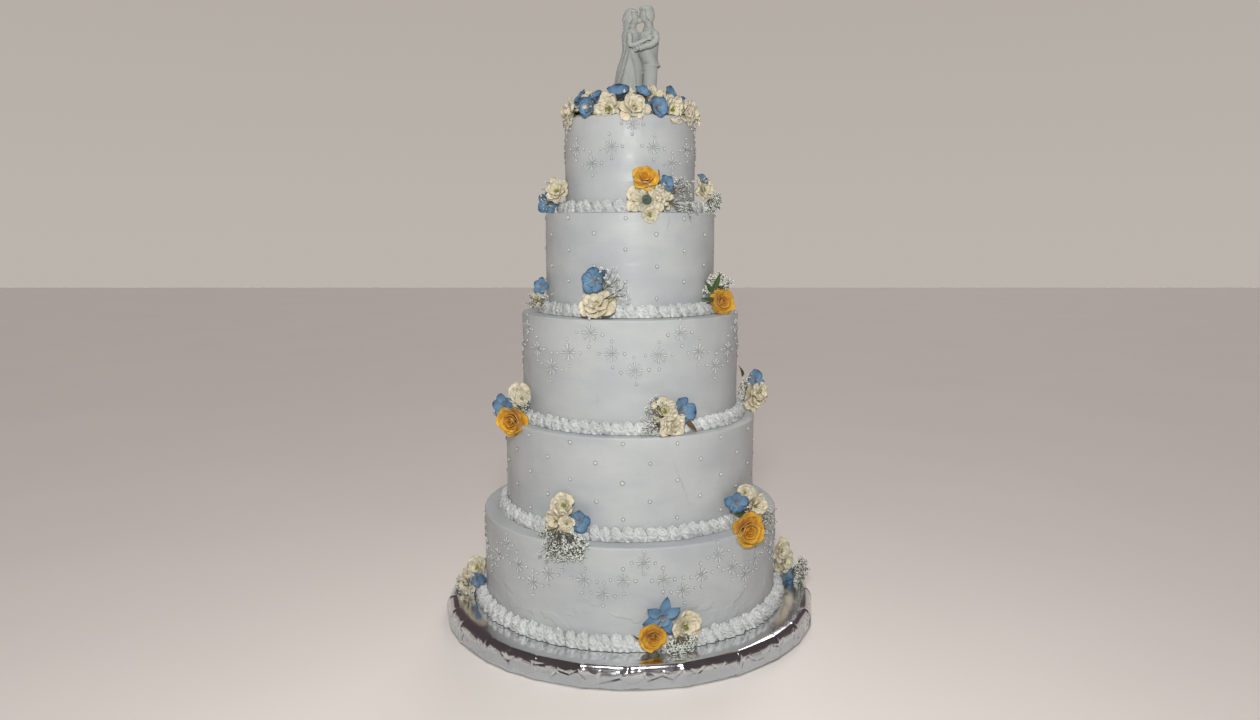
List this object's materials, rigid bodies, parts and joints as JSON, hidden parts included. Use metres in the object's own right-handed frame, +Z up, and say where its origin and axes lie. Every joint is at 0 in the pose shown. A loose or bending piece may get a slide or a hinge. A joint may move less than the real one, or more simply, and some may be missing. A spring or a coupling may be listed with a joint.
{
  "type": "tiered wedding cake",
  "caption": "Tiered white wedding cake on a foil drum, piped with snowflakes, dots and shell borders, dressed with posies of fresh flowers, a flower wreath and a porcelain couple on top.",
  "frame": {"origin": "middle of the drum board's underside, on the cake's axis", "axes": "+Z up the cake's axis; the decorated front faces -Y; +X is to the right seen from the front"},
  "size_m": [0.4684, 0.466, 0.747],
  "materials": {
    "foil": "pleated, near mirror",
    "icing": "smooth buttercream, satin",
    "piping": "piped buttercream, satin",
    "cream_petals": "soft petals",
    "yellow_petals": "soft petals",
    "blue_petals": "soft petals",
    "porcelain": "unglazed, matt"
  },
  "bodies": {
    "root": {"board": "foil", "tier_1": "icing", "border_1": "piping", "tier_2": "icing", "border_2": "piping", "tier_3": "icing", "border_3": "piping", "tier_4": "icing", "border_4": "piping", "tier_5": "icing", "border_5": "piping", "posy_1a_blue": "blue_petals", "posy_1a_cream": "cream_petals", "posy_1a_rose": "yellow_petals", "posy_1b_blue": "blue_petals", "posy_1b_cream": "cream_petals", "posy_1c_blue": "blue_petals", "posy_1c_cream": "cream_petals", "posy_1c_rose": "yellow_petals", "posy_1d_blue": "blue_petals", "posy_1d_cream": "cream_petals", "posy_2a_blue": "blue_petals", "posy_2a_cream": "cream_petals", "posy_2b_blue": "blue_petals", "posy_2b_cream": "cream_petals", "posy_2b_rose": "yellow_petals", "posy_2c_blue": "blue_petals", "posy_2c_cream": "cream_petals", "posy_2d_blue": "blue_petals", "posy_2d_cream": "cream_petals", "posy_3a_blue": "blue_petals", "posy_3a_cream": "cream_petals", "posy_3b_blue": "blue_petals", "posy_3b_cream": "cream_petals", "posy_3c_blue": "blue_petals", "posy_3c_cream": "cream_petals", "posy_3d_blue": "blue_petals", "posy_3d_cream": "cream_petals", "posy_3d_rose": "yellow_petals", "posy_4a_blue": "blue_petals", "posy_4a_cream": "cream_petals", "posy_4b_cream": "cream_petals", "posy_4b_rose": "yellow_petals", "posy_4c_blue": "blue_petals", "posy_4c_cream": "cream_petals", "posy_4d_blue": "blue_petals", "posy_4d_cream": "cream_petals", "posy_5a_blue": "blue_petals", "posy_5a_cream": "cream_petals", "posy_5a_rose": "yellow_petals", "posy_5b_blue": "blue_petals", "posy_5b_cream": "cream_petals", "posy_5c_cream": "cream_petals", "posy_5c_rose": "yellow_petals", "posy_5d_blue": "blue_petals", "posy_5d_cream": "cream_petals", "wreath": "cream_petals", "figurine": "porcelain"}
  },
  "joints": []
}
